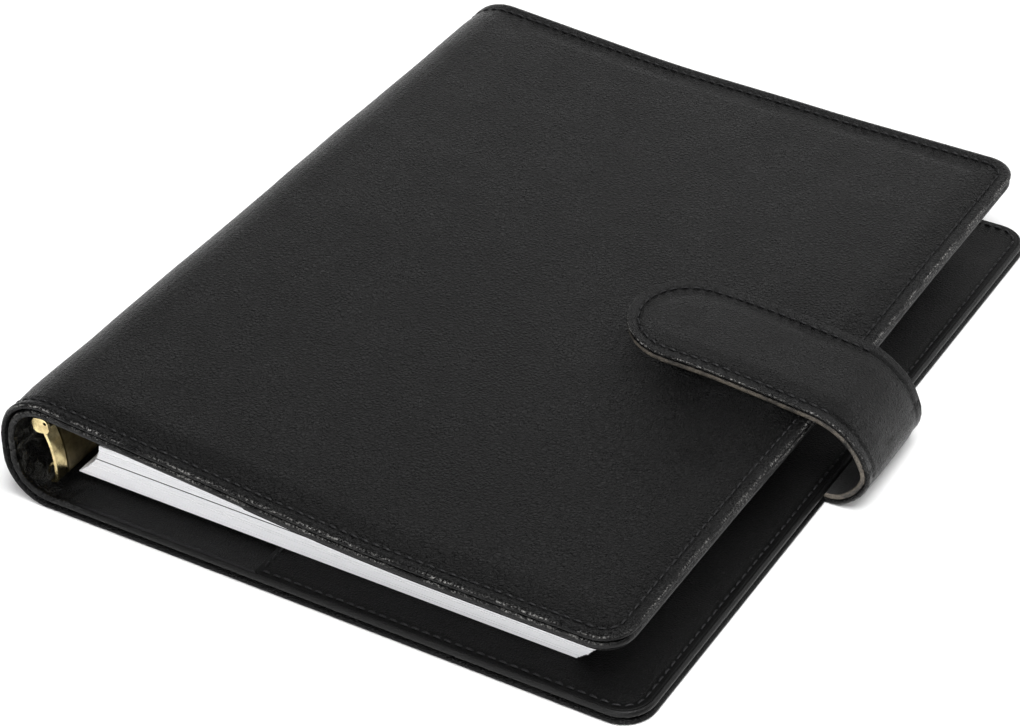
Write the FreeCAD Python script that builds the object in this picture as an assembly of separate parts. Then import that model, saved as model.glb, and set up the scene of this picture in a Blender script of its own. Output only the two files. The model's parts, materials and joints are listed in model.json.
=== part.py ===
"""A5 six-ring organiser in a padded leather cover with a strap closure, lying closed on its back cover.

Millimetres, +Z up. X runs from the spine to the fore edge, Y along the spine, Z from the back cover to the
front cover. Every shape is drawn with x = 0 on the spine's outer face and y = 0 half way along the spine,
and is moved sideways at the end, so that the origin is under the middle of the whole object.
"""
import FreeCAD, Part
import math
import os

V = FreeCAD.Vector

# ---- cover ----
COVER_LENGTH = 235.0
BACK_WIDTH = 186.0
FRONT_WIDTH = 180.7
CORNER_RADIUS = 9.0
LOWER_BEND = (13.0, 13.0)
LOWER_RADIUS = 13.0
UPPER_BEND = (14.0, 18.0)
UPPER_RADIUS = 14.0
FRONT_SLOPE = 4.3
SLOPE_END_X = 133.0
FRONT_LEVELS = (25.3, 25.2)
HINGE_ANGLE = 45.0
HINGE_SLIT = 1.0

# ---- layers of the wall, as depths below its outer face ----
SKIN = 1.0
FOAM = (1.05, 1.7)
BOARD = (1.75, 2.7)
SEAM = (1.65, 1.7)
LINING_START = 2.75
WALL = 3.4
RIM = 6.5
CORE_START = 27.5
CORE_GAP = 0.15
FLEX_CHANNEL = (14.0, 26.0)
FLEX_DEPTH = 2.6
RING_ZONE_HALF = 100.0

# ---- pockets inside the covers ----
POCKET_EDGE_INSET = 1.2
BACK_POCKET = (76.0, 3.45, 4.1)
FRONT_POCKET = (69.0, 3.45, 4.05, 51.5)
CARD_POCKET = (74.0, 4.1, 4.65, 35.5)

# ---- spine board ----
SPINE_BOARD = (1.05, 2.3)
SPINE_BOARD_Z = (8.5, 24.0)
SPINE_BOARD_HALF = 108.0

# ---- ring mechanism, in its own frame: u stands out from the spine, v runs across the plate ----
MECHANISM_ORIGIN = (13.2, 13.8)
MECHANISM_TILT = 8.5
PLATE_HALF_LENGTH = 108.0
PLATE_HALF_WIDTH = 8.2
PLATE_SHEET = 0.8
PLATE_SAG = 1.2
FLANGE_DEPTH = 4.6
FLANGE_SPLAY = 0.7
RING_CENTRE_U = 5.26
RING_RADIUS = 9.0
WIRE_RADIUS = 1.2
RING_SPACING = (35.0, 54.0, 73.0)
RING_NOTCH_V = (3.6, 9.5)
RING_NOTCH_BOTTOM = -2.6
RING_NOTCH_HALF = 1.8
BLADE_U = -3.4
BLADE_THICKNESS = 1.0
BLADE_PIVOT_V = 7.1
BLADE_INNER_V = 0.3
BLADE_HALF_LENGTH = 102.5
RIVET_Y = 88.0
RIVET_RADIUS = 2.0
RIVET_HEAD = (3.5, 0.9)
POST_RADIUS = 3.2
LEVER_PIN_Y = 105.5
LEVER_PIN_U = -3.2
LEVER_PIN_RADIUS = 0.6
LEVER_REACH = 112.6
LEVER_HALF_WIDTH = 5.0
LEVER_FLANGE = 3.4
EAR_CENTRE = (-2.3, 9.0)
EAR_SIZE = (5.2, 4.4)
EAR_HOLE = (-0.6, 9.9, 0.5)
HOOK = ((-0.6, -2.9), (-3.2, -4.3), (-4.5, -6.9))
HOOK_THICKNESS = 0.7
TONGUE_HALF_WIDTH = 2.0
TONGUE_LENGTH = 4.0

# ---- pages ----
PAGE_WIDTH = 148.0
PAGE_LENGTH = 210.0
PAGE_LEFT = 14.0
PAGE_LEAN = 7.7
STACK_Z = (4.35, 15.3)
REAR_TOP = 10.5
DIVIDER_Z = (10.55, 10.9)
FRONT_BOTTOM = 10.95
HOLE_RADIUS = 2.75
REAR_PIVOT = (19.68, 9.24)
REAR_SWING = 93.7
FRONT_PIVOT = (16.42, 12.69)
FRONT_SWING = 90.0

# ---- strap and snap ----
STRAP_HALF_WIDTH = 17.5
STRAP_THICKNESS = 2.9
STRAP_LEATHER = 1.4
STRAP_LINING = 1.45
STRAP_TIP_X = 120.5
STRAP_ROOT_X = 186.2
STRAP_LOW_BEND = (189.0, 9.5)
STRAP_LOW_RADIUS = 9.5
STRAP_HIGH_BEND = (181.5, 11.4)
STRAP_HIGH_RADIUS = 17.0
STRAP_ROOT_TOP = 10.45
TAB_SLOPE = 2.0
TAB_LEVEL_X = 140.0
TAB_TOP = 30.1
STRAP_SLIT = 0.15
STRAP_CORE = (1.2, 1.65)
STRAP_CORE_INSET = 5.5
SNAP_X = 138.0
SNAP_CAP_RADIUS = 5.5
SNAP_POST_RADIUS = 1.6
STUD_FLANGE = (5.0, 0.4)
STUD_NECK = (2.2, 0.85)
STUD_HEAD = (2.7, 1.35)
SOCKET_RADIUS = 5.5
SOCKET_BORE = 3.1
SOCKET_DEPTH = 1.2
WASHER_RADIUS = 4.5

ORIGIN_X = (STRAP_LOW_BEND[0] + STRAP_LOW_RADIUS) / 2
TALL = 80.0


# ---- drawing in the XZ plane ----
def arc_point(centre, radius, degrees):
    angle = math.radians(degrees)
    return V(centre[0] + radius * math.cos(angle), 0, centre[1] + radius * math.sin(angle))


def arc(centre, radius, start, stop):
    middle = (start + stop) / 2
    points = [arc_point(centre, radius, degrees) for degrees in (start, middle, stop)]
    return Part.Arc(*points).toShape()


def line(x0, z0, x1, z1):
    return Part.LineSegment(V(x0, 0, z0), V(x1, 0, z1)).toShape()


def bezier(*poles):
    curve = Part.BezierCurve()
    curve.setPoles([V(x, 0, z) for x, z in poles])
    return curve.toShape()


def end_of(edge):
    point = edge.valueAt(edge.LastParameter)
    return point.x, point.z


def end_point(edges, last):
    edge = edges[-1] if last else edges[0]
    return edge.valueAt(edge.LastParameter if last else edge.FirstParameter)


def between(near, far):
    """The face between two runs of edges that are drawn the same way."""
    ends = [Part.LineSegment(end_point(near, last), end_point(far, last)).toShape() for last in (False, True)]
    return Part.Face(Part.Wire(Part.__sortEdges__(near + far + ends)))


def along_y(face, low, high):
    """The face swept along Y from low to high."""
    start = face.copy()
    start.translate(V(0, low, 0))
    return start.extrude(V(0, high - low, 0))


def block(x0, x1, y0, y1, z0, z1):
    return Part.makeBox(x1 - x0, y1 - y0, z1 - z0, V(x0, y0, z0))


def outline(x0, x1, half_length, radius):
    """A tall prism with rounded corners on its fore side, to trim layers with."""
    prism = block(x0, x1, -half_length, half_length, -TALL / 4, TALL)
    corners = [
        edge
        for edge in prism.Edges
        if edge.BoundBox.ZLength > TALL and edge.BoundBox.Center.x > (x0 + x1) / 2
    ]
    return prism.makeFillet(radius, corners)


# ---- the three parts of the wall, as paths at a depth below the outer face ----
def back_path(depth):
    return [
        arc(LOWER_BEND, LOWER_RADIUS - depth, 180 + HINGE_ANGLE + HINGE_SLIT, 270),
        line(LOWER_BEND[0], depth, BACK_WIDTH, depth),
    ]


def spine_path(depth):
    low, high = 180 + HINGE_ANGLE - HINGE_SLIT, 180 - HINGE_ANGLE + HINGE_SLIT
    return [
        arc(LOWER_BEND, LOWER_RADIUS - depth, low, 180),
        line(depth, LOWER_BEND[1], depth, UPPER_BEND[1]),
        arc(UPPER_BEND, UPPER_RADIUS - depth, 180, high),
    ]


def front_poles():
    """The front cover's fall from the spine to its level part, as a cubic curve whose x runs evenly."""
    start = arc_point(UPPER_BEND, UPPER_RADIUS, 90 - FRONT_SLOPE)
    third = (SLOPE_END_X - start.x) / 3
    fall = third * math.tan(math.radians(FRONT_SLOPE))
    near_level, level = FRONT_LEVELS
    heights = (start.z, start.z - fall, near_level, level)
    return [(start.x + third * step, height) for step, height in enumerate(heights)]


def front_path(depth):
    shoulder = arc(UPPER_BEND, UPPER_RADIUS - depth, 180 - HINGE_ANGLE - HINGE_SLIT, 90 - FRONT_SLOPE)
    poles = [(x, z - depth) for x, z in front_poles()]
    poles[0] = end_of(shoulder)
    level = poles[-1][1]
    return [shoulder, bezier(*poles), line(SLOPE_END_X, level, FRONT_WIDTH, level)]


def layer(path, outer, inner, half_length=COVER_LENGTH / 2):
    """A layer of the wall between two depths."""
    return along_y(between(path(outer), path(inner)), -half_length, half_length)


# ---- covers ----
def cover_outline(width):
    return outline(-TALL, width, COVER_LENGTH / 2, CORNER_RADIUS)


def core_outline(width, gap=0.0):
    """The space inside the stitched rim, less a gap all round."""
    inset = RIM + gap
    return outline(CORE_START + gap, width - inset, COVER_LENGTH / 2 - inset, CORNER_RADIUS - RIM / 2)


def cover_leather(path, width):
    skin = layer(path, 0, SEAM[0]).common(cover_outline(width))
    return skin.cut(layer(path, SKIN, LINING_START).common(core_outline(width)))


def cover_lining(path, width):
    lining = layer(path, SEAM[1], WALL).common(cover_outline(width))
    lining = lining.cut(layer(path, SKIN, LINING_START).common(core_outline(width)))
    channel = block(*FLEX_CHANNEL, -RING_ZONE_HALF, RING_ZONE_HALF, -TALL / 4, TALL)
    return lining.cut(layer(path, FLEX_DEPTH, WALL + 1).common(channel))


def cover_core(path, width, depths):
    """A foam pad or a board, inside the stitched rim."""
    return layer(path, *depths).common(core_outline(width, CORE_GAP))


def pocket(path, width, start, outer, inner, top):
    """A panel sewn to the lining along the cover's fore, lower and, where it reaches it, upper edge."""
    edge = COVER_LENGTH / 2 - POCKET_EDGE_INSET
    outer_shape = outline(start, width - POCKET_EDGE_INSET, edge, CORNER_RADIUS - POCKET_EDGE_INSET)
    return layer(path, outer, inner).common(outer_shape).common(block(0, width, -edge, top, -TALL, TALL))


def back_pocket_panel():
    return pocket(back_path, BACK_WIDTH, *BACK_POCKET, COVER_LENGTH / 2)


def front_board():
    board = cover_core(front_path, FRONT_WIDTH, BOARD).cut(stud_hole())
    return board.cut(washer_disc(WASHER_RADIUS + CORE_GAP, BOARD[1] - 0.55, LINING_START))


# ---- spine ----
def spine_core(depths, gap):
    half = SPINE_BOARD_HALF - gap
    limits = block(-TALL, TALL, -half, half, SPINE_BOARD_Z[0] + gap, SPINE_BOARD_Z[1] - gap)
    return layer(spine_path, *depths).common(limits)


def spine_recess():
    """The space for the spine board, a little larger than the board."""
    return spine_core((SPINE_BOARD[0] - 0.05, SPINE_BOARD[1] + 0.05), 0)


def spine_outer_leather():
    return layer(spine_path, 0, SEAM[0]).cut(spine_recess())


def spine_board():
    return spine_core(SPINE_BOARD, CORE_GAP).cut(rivet_holes())


def spine_lining():
    return layer(spine_path, SEAM[1], WALL).cut(spine_recess()).cut(rivet_holes())


# ---- ring mechanism ----
def placed(shape):
    """A shape from the mechanism's frame, with u along X and v along Z, put in its place."""
    shape = shape.copy()
    shape.rotate(V(0, 0, 0), V(0, 1, 0), -MECHANISM_TILT)
    shape.translate(V(MECHANISM_ORIGIN[0], 0, MECHANISM_ORIGIN[1]))
    return shape


def plate_section():
    """The arched sheet with a flange along each side."""
    crown, edge, flange = 0.0, PLATE_HALF_WIDTH, PLATE_HALF_WIDTH + FLANGE_SPLAY
    outer = [
        line(-FLANGE_DEPTH, -flange, -PLATE_SAG, -edge),
        Part.Arc(V(-PLATE_SAG, 0, -edge), V(crown, 0, 0), V(-PLATE_SAG, 0, edge)).toShape(),
        line(-PLATE_SAG, edge, -FLANGE_DEPTH, flange),
    ]
    low, inner_edge, inner_flange = PLATE_SAG + PLATE_SHEET, edge - PLATE_SHEET, flange - PLATE_SHEET
    inner = [
        line(-FLANGE_DEPTH, -inner_flange, -low, -inner_edge),
        Part.Arc(V(-low, 0, -inner_edge), V(-PLATE_SHEET, 0, 0), V(-low, 0, inner_edge)).toShape(),
        line(-low, inner_edge, -FLANGE_DEPTH, inner_flange),
    ]
    return between(outer, inner)


def arched_sheet(low, high):
    """A length of the plate's section, with its two outer corners rounded."""
    sheet = along_y(plate_section(), low, high)
    corners = [
        edge
        for edge in sheet.Edges
        if edge.BoundBox.YLength > high - low - 0.01
        and abs(edge.BoundBox.Center.x + PLATE_SAG) < 0.01
        and abs(abs(edge.BoundBox.Center.z) - PLATE_HALF_WIDTH) < 0.01
    ]
    return sheet.makeFillet(1.0, corners)


def hole_path(y):
    """The curved passage that one ring needs through the sheets."""
    return placed(Part.makeTorus(RING_RADIUS, HOLE_RADIUS, V(RING_CENTRE_U, y, 0), V(0, 1, 0)))


def ring_rows():
    return [side * spacing for side in (-1, 1) for spacing in RING_SPACING]


def ring_cover_plate():
    plate = arched_sheet(-PLATE_HALF_LENGTH, PLATE_HALF_LENGTH)
    inner, outer = RING_NOTCH_V
    for y in ring_rows():
        for side in (-1, 1):
            low, high = sorted((side * inner, side * outer))
            notch = block(RING_NOTCH_BOTTOM, TALL, y - RING_NOTCH_HALF, y + RING_NOTCH_HALF, low, high)
            plate = plate.cut(notch)
    for y in (-RIVET_Y, RIVET_Y):
        plate = plate.cut(across(y, RIVET_RADIUS + 0.05, -TALL / 8, TALL / 8))
    for y in (-LEVER_PIN_Y, LEVER_PIN_Y):
        plate = plate.cut(pin(y, LEVER_PIN_RADIUS + 0.05, PLATE_HALF_WIDTH + 2))
    return placed(plate)


def across(y, radius, low, high):
    """A cylinder along u."""
    return Part.makeCylinder(radius, high - low, V(low, y, 0), V(1, 0, 0))


def pin(y, radius, half_length):
    """A cylinder along v, on a lever's pivot."""
    return Part.makeCylinder(radius, 2 * half_length, V(LEVER_PIN_U, y, -half_length), V(0, 0, 1))


def half_rings(side):
    """Six half rings that stand on one blade."""
    root = math.degrees(math.acos((BLADE_U + BLADE_THICKNESS / 2 + 0.1 - RING_CENTRE_U) / RING_RADIUS))
    tip_gap = 0.6
    rings = []
    for y in ring_rows():
        centre = (RING_CENTRE_U, 0)
        route = Part.Wire([arc(centre, RING_RADIUS, side * tip_gap, side * root)])
        route.translate(V(0, y, 0))
        start = arc_point(centre, RING_RADIUS, side * tip_gap) + V(0, y, 0)
        along = V(-math.sin(math.radians(side * tip_gap)), 0, math.cos(math.radians(tip_gap)))
        circle = Part.Wire([Part.makeCircle(WIRE_RADIUS, start, along)])
        ring = route.makePipeShell([circle], True, False)
        rings.append(placed(ring.cut(blade_blank(side))))
    return Part.makeCompound(rings)


def blade_blank(side):
    """A blade before it is notched: a flat strip with a round outer edge that it pivots on."""
    half = BLADE_THICKNESS / 2
    low, high, inner, pivot = BLADE_U - half, BLADE_U + half, side * BLADE_INNER_V, side * BLADE_PIVOT_V
    edges = [
        line(low, pivot, low, inner),
        line(low, inner, high, inner),
        line(high, inner, high, pivot),
        Part.Arc(V(high, 0, pivot), V(BLADE_U, 0, pivot + side * half), V(low, 0, pivot)).toShape(),
    ]
    return along_y(Part.Face(Part.Wire(edges)), -BLADE_HALF_LENGTH, BLADE_HALF_LENGTH)


def blade(side):
    strip = blade_blank(side)
    for y in (-RIVET_Y, RIVET_Y):
        strip = strip.cut(across(y, POST_RADIUS + 0.6, -TALL / 8, TALL / 8))
    return placed(strip)


def rivet_holes():
    holes = [across(y, RIVET_RADIUS + 0.05, -TALL / 4, 0) for y in (-RIVET_Y, RIVET_Y)]
    return placed(Part.makeCompound(holes))


def mounting_posts():
    """Tubes that hold the plate off the spine."""
    posts = []
    for y in (-RIVET_Y, RIVET_Y):
        tube = across(y, POST_RADIUS, -TALL / 4, -PLATE_SHEET - 0.3)
        tube = placed(tube.cut(across(y, RIVET_RADIUS + 0.05, -TALL / 4, TALL / 4)))
        tube = tube.common(block(WALL, TALL, -TALL * 2, TALL * 2, 0, TALL))
        posts.append(tube.cut(layer(spine_path, 0, WALL + 0.05)))
    return Part.makeCompound(posts)


def mounting_rivets():
    """Rivets from the crown of the plate, through the posts, into the spine board."""
    head_radius, head_height = RIVET_HEAD
    rivets = []
    for y in (-RIVET_Y, RIVET_Y):
        head = across(y, head_radius, 0.05, head_height)
        rim = [edge for edge in head.Edges if edge.BoundBox.XLength < 0.01 and edge.BoundBox.Center.x > 0.1]
        head = head.makeFillet(head_height * 0.7, rim)
        shank = across(y, RIVET_RADIUS, -TALL / 4, head_height / 2)
        rivet = placed(head.fuse(shank).removeSplitter())
        rivet = rivet.common(block(0, TALL, -TALL * 2, TALL * 2, 0, TALL))
        rivets.append(largest_solid(rivet.cut(layer(spine_path, 0, SPINE_BOARD[0]))))
    return Part.makeCompound(rivets)


def lever_pins():
    length = PLATE_HALF_WIDTH - 0.1
    return placed(Part.makeCompound([pin(y, LEVER_PIN_RADIUS, length) for y in (-LEVER_PIN_Y, LEVER_PIN_Y)]))


def end_lever(end):
    """An arched thumb paddle outside the plate, on a hub that turns on its pin, with a tongue under the blades."""
    inner = PLATE_HALF_LENGTH + 0.6
    paddle = arched_sheet(inner, LEVER_REACH).common(block(-LEVER_FLANGE, TALL, inner, LEVER_REACH, -TALL, TALL))
    wide, narrow = LEVER_HALF_WIDTH, TONGUE_HALF_WIDTH
    arm = block(LEVER_PIN_U - 0.4, LEVER_PIN_U + 0.4, LEVER_PIN_Y, inner + 1.6, -wide, wide)
    web = block(LEVER_PIN_U - 0.4, -PLATE_SHEET, inner + 0.8, inner + 1.6, -wide, wide)
    web = web.common(along_y(under_arch(), inner, LEVER_REACH))
    hub = pin(LEVER_PIN_Y, LEVER_PIN_RADIUS * 2.2, wide)
    tongue_top = LEVER_PIN_U - 1.2
    tongue = block(tongue_top - 0.8, tongue_top, LEVER_PIN_Y - TONGUE_LENGTH, LEVER_PIN_Y + 1, -narrow, narrow)
    neck = block(tongue_top - 0.8, LEVER_PIN_U, LEVER_PIN_Y - 0.6, LEVER_PIN_Y + 1, -narrow, narrow)
    lever = paddle.fuse([web, arm, hub, neck, tongue, lever_ear(), lever_hook()]).removeSplitter()
    lever = lever.cut(pin(LEVER_PIN_Y, LEVER_PIN_RADIUS + 0.1, wide + 1))
    if end < 0:
        lever = lever.mirror(V(0, 0, 0), V(0, 1, 0))
    return placed(lever)


def lever_ear():
    """A rounded ear on the upper corner of the paddle, across its end."""
    (u, v), (width, height) = EAR_CENTRE, EAR_SIZE
    hole_u, hole_v, hole_radius = EAR_HOLE
    low = LEVER_REACH - PLATE_SHEET
    ear = block(u - width / 2, u + width / 2, low, LEVER_REACH, v - height / 2, v + height / 2)
    corners = [edge for edge in ear.Edges if edge.BoundBox.YLength > PLATE_SHEET / 2]
    ear = ear.makeFillet(height * 0.35, corners)
    return ear.cut(Part.makeCylinder(hole_radius, 2 * PLATE_SHEET, V(hole_u, low - 0.4, hole_v), V(0, 1, 0)))


def lever_hook():
    """A narrow strip that curls from under the paddle towards the spine."""
    outer = Part.Arc(*[V(u, 0, v) for u, v in HOOK]).toShape()
    inner = Part.Arc(*[V(u, 0, v + HOOK_THICKNESS) for u, v in HOOK]).toShape()
    return along_y(between([outer], [inner]), LEVER_REACH - 2 * PLATE_SHEET, LEVER_REACH - PLATE_SHEET)


def under_arch():
    """The section under the plate's crown, reaching a little into the sheet."""
    edge = PLATE_HALF_WIDTH - PLATE_SHEET / 2
    low = PLATE_SAG + PLATE_SHEET / 2
    crown = Part.Arc(V(-low, 0, -edge), V(-PLATE_SHEET / 2, 0, 0), V(-low, 0, edge)).toShape()
    return between([crown], [line(-FLANGE_DEPTH, -edge, -FLANGE_DEPTH, edge)])


# ---- pages ----
def page_stack():
    """The whole stack, whose sheets lean away from the spine as they follow the rings."""
    low, high = STACK_Z
    middle = (low + high) / 2
    edges = [
        bezier((left, low), (left + PAGE_LEAN, middle), (left + PAGE_LEAN, high))
        for left in (PAGE_LEFT, PAGE_LEFT + PAGE_WIDTH)
    ]
    return along_y(between([edges[0]], [edges[1]]), -PAGE_LENGTH / 2, PAGE_LENGTH / 2)


def pages(low, high, pivot, swing):
    """The sheets between two heights, punched where the rings pass when closed and when turned right over."""
    sheets = page_stack().common(block(0, BACK_WIDTH, -PAGE_LENGTH, PAGE_LENGTH, low, high))
    for y in ring_rows():
        closed = hole_path(y)
        opened = closed.copy()
        opened.rotate(V(pivot[0], 0, pivot[1]), V(0, 1, 0), swing)
        sheets = sheets.cut(closed).cut(opened)
    return largest_solid(sheets)


def largest_solid(shape):
    return max(shape.Solids, key=lambda solid: solid.Volume)


# ---- strap ----
def strap_root_path(depth):
    right = STRAP_LOW_BEND[0] + STRAP_LOW_RADIUS - depth
    low = STRAP_LOW_BEND[1] - STRAP_LOW_RADIUS + depth
    return [
        line(STRAP_ROOT_X, low, STRAP_LOW_BEND[0], low),
        arc(STRAP_LOW_BEND, STRAP_LOW_RADIUS - depth, -90, 0),
        line(right, STRAP_LOW_BEND[1], right, STRAP_ROOT_TOP - STRAP_SLIT),
    ]


def strap_side_path(depth):
    right = STRAP_HIGH_BEND[0] + STRAP_HIGH_RADIUS - depth
    return [
        line(right, STRAP_ROOT_TOP + STRAP_SLIT, right, STRAP_HIGH_BEND[1]),
        arc(STRAP_HIGH_BEND, STRAP_HIGH_RADIUS - depth, 0, HINGE_ANGLE - HINGE_SLIT),
    ]


def strap_tab_path(depth):
    """Out of the bend, up a gentle slope, then level over the snap."""
    bend = arc(STRAP_HIGH_BEND, STRAP_HIGH_RADIUS - depth, HINGE_ANGLE + HINGE_SLIT, 90 - TAB_SLOPE)
    x, z = end_of(bend)
    third = (x - TAB_LEVEL_X) / 3
    rise = third * math.tan(math.radians(TAB_SLOPE))
    level = TAB_TOP - depth
    slope = bezier((x, z), (x - third, z + rise), (TAB_LEVEL_X + third, level), (TAB_LEVEL_X, level))
    return [bend, slope, line(TAB_LEVEL_X, level, STRAP_TIP_X, level)]


def strap_layer(path, outer, inner):
    return layer(path, outer, inner, STRAP_HALF_WIDTH)


def tab_outline(inset):
    """A tall prism with the tab's round tip."""
    radius = STRAP_HALF_WIDTH - inset
    centre = STRAP_TIP_X + STRAP_HALF_WIDTH
    tip = Part.makeCylinder(radius, TALL, V(centre, 0, 0))
    return tip.fuse(block(centre, ORIGIN_X * 2, -radius, radius, 0, TALL))


def strap_core_space(outer, inner, inset):
    """The space for the stiffener in the flat part of the tab."""
    flat = block(0, STRAP_HIGH_BEND[0] - inset, -TALL, TALL, 0, TALL)
    return strap_layer(strap_tab_path, outer, inner).common(tab_outline(inset)).common(flat)


def core_recess():
    return strap_core_space(STRAP_CORE[0] - 0.05, STRAP_CORE[1] + 0.05, STRAP_CORE_INSET - CORE_GAP)


def strap_tab_leather():
    return strap_layer(strap_tab_path, 0, STRAP_LEATHER).common(tab_outline(0)).cut(core_recess())


def strap_tab_lining():
    lining = strap_layer(strap_tab_path, STRAP_LINING, STRAP_THICKNESS).common(tab_outline(0))
    return lining.cut(core_recess()).cut(upright(SNAP_POST_RADIUS + 0.05, 0, TALL))


def strap_stiffener():
    core = strap_core_space(*STRAP_CORE, STRAP_CORE_INSET)
    return core.cut(upright(SNAP_CAP_RADIUS + CORE_GAP, 0, TALL))


# ---- snap fastener ----
def upright(radius, low, high):
    """A cylinder along Z on the snap's axis."""
    return Part.makeCylinder(radius, high - low, V(SNAP_X, 0, low))


def snap_cap():
    """The hidden cap inside the tab, with the post that holds the socket."""
    disc = upright(SNAP_CAP_RADIUS, TAB_TOP - STRAP_CORE[1], TAB_TOP - STRAP_CORE[0])
    post = upright(SNAP_POST_RADIUS, TAB_TOP - STRAP_THICKNESS - 0.4, TAB_TOP - STRAP_CORE[0])
    return disc.fuse(post).removeSplitter()


def snap_socket():
    top = TAB_TOP - STRAP_THICKNESS - 0.05
    ring = upright(SOCKET_RADIUS, top - SOCKET_DEPTH, top)
    rim = [edge for edge in ring.Edges if edge.BoundBox.ZLength < 0.01 and edge.BoundBox.ZMax < top - 0.1]
    ring = ring.makeFillet(0.4, rim)
    ring = ring.cut(upright(SOCKET_BORE, top - SOCKET_DEPTH - 1, top - 0.4))
    return ring.cut(upright(SNAP_POST_RADIUS + 0.05, 0, TALL))


def snap_stud():
    """The stud on the front cover, with a post down to its washer."""
    base = FRONT_LEVELS[1] + 0.05
    flange = upright(STUD_FLANGE[0], base, base + STUD_FLANGE[1])
    neck = upright(STUD_NECK[0], base, base + STUD_NECK[1])
    head = upright(STUD_HEAD[0], base + STUD_NECK[1], base + STUD_HEAD[1])
    head = head.makeFillet(0.2, [edge for edge in head.Edges if edge.BoundBox.ZLength < 0.01])
    post = upright(SNAP_POST_RADIUS, FRONT_LEVELS[1] - BOARD[1], base)
    return flange.fuse([neck, head, post]).removeSplitter()


def stud_hole():
    return upright(SNAP_POST_RADIUS + 0.05, 0, TALL)


def washer_disc(radius, outer, inner):
    return upright(radius, FRONT_LEVELS[1] - inner, FRONT_LEVELS[1] - outer)


def stud_washer():
    return washer_disc(WASHER_RADIUS, BOARD[1] - 0.5, BOARD[1]).cut(stud_hole())


NODES = {
    "back_outer_leather": lambda: cover_leather(back_path, BACK_WIDTH),
    "back_foam_pad": lambda: cover_core(back_path, BACK_WIDTH, FOAM),
    "back_board": lambda: cover_core(back_path, BACK_WIDTH, BOARD),
    "back_lining": lambda: cover_lining(back_path, BACK_WIDTH),
    "back_pocket_panel": back_pocket_panel,
    "spine_outer_leather": spine_outer_leather,
    "spine_board": spine_board,
    "spine_lining": spine_lining,
    "ring_cover_plate": ring_cover_plate,
    "mounting_posts": mounting_posts,
    "mounting_rivets": mounting_rivets,
    "lever_pins": lever_pins,
    "upper_blade": lambda: blade(1),
    "upper_half_rings": lambda: half_rings(1),
    "lower_blade": lambda: blade(-1),
    "lower_half_rings": lambda: half_rings(-1),
    "bottom_end_lever": lambda: end_lever(-1),
    "top_end_lever": lambda: end_lever(1),
    "front_outer_leather": lambda: cover_leather(front_path, FRONT_WIDTH).cut(stud_hole()),
    "front_foam_pad": lambda: cover_core(front_path, FRONT_WIDTH, FOAM).cut(stud_hole()),
    "front_board": front_board,
    "front_lining": lambda: cover_lining(front_path, FRONT_WIDTH),
    "front_pocket_panel": lambda: pocket(front_path, FRONT_WIDTH, *FRONT_POCKET),
    "front_card_pocket": lambda: pocket(front_path, FRONT_WIDTH, *CARD_POCKET),
    "snap_stud": snap_stud,
    "stud_washer": stud_washer,
    "rear_pages": lambda: pages(STACK_Z[0], REAR_TOP, REAR_PIVOT, -REAR_SWING),
    "divider_sheet": lambda: pages(*DIVIDER_Z, REAR_PIVOT, -REAR_SWING),
    "front_pages": lambda: pages(FRONT_BOTTOM, STACK_Z[1], FRONT_PIVOT, FRONT_SWING),
    "strap_root_leather": lambda: strap_layer(strap_root_path, 0, STRAP_LEATHER),
    "strap_root_lining": lambda: strap_layer(strap_root_path, STRAP_LINING, STRAP_THICKNESS),
    "strap_side_leather": lambda: strap_layer(strap_side_path, 0, STRAP_LEATHER),
    "strap_side_lining": lambda: strap_layer(strap_side_path, STRAP_LINING, STRAP_THICKNESS),
    "strap_tab_leather": strap_tab_leather,
    "strap_tab_lining": strap_tab_lining,
    "strap_stiffener": strap_stiffener,
    "snap_cap": snap_cap,
    "snap_socket": snap_socket,
}


def main():
    os.makedirs("parts", exist_ok=True)
    for name, make in NODES.items():
        shape = make()
        shape.translate(V(-ORIGIN_X, 0, 0))
        shape.exportStep(f"parts/{name}.step")
        print(name, len(shape.Solids), shape.isValid(), round(shape.Volume, 1))


main()
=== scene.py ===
import json
import math
import random

import bmesh
import bpy
from mathutils import Matrix, Vector, noise


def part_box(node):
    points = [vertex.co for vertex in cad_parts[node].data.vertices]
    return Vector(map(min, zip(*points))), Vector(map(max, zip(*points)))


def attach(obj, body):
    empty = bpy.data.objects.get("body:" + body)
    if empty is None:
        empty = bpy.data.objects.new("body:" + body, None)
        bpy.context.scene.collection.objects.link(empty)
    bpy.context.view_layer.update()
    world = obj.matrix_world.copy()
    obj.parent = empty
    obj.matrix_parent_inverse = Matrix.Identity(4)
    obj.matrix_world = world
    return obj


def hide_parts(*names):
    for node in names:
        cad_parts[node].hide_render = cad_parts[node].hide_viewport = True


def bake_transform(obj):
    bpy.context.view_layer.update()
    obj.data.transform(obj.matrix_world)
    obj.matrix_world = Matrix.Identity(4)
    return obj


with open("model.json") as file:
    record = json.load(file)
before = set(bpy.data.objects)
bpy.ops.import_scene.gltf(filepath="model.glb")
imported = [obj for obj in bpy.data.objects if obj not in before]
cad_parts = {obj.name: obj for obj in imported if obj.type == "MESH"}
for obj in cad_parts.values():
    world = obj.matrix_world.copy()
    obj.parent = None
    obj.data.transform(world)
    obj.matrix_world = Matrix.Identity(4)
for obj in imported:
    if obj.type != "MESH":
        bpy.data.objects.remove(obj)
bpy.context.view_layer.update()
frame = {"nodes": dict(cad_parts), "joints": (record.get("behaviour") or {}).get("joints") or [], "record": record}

MM = 0.001
random.seed(7)

X0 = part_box("spine_outer_leather")[0].x / MM
JOINTS = {joint["name"]: joint for joint in frame["joints"]}
SLOT_OF = {part["node"]: part["material_slot"] for part in frame["record"]["subparts"]}


def corners(node):
    """A node's lowest and highest corners, with x from the spine."""
    return [Vector((c.x / MM - X0, c.y / MM, c.z / MM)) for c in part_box(node)]


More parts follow.
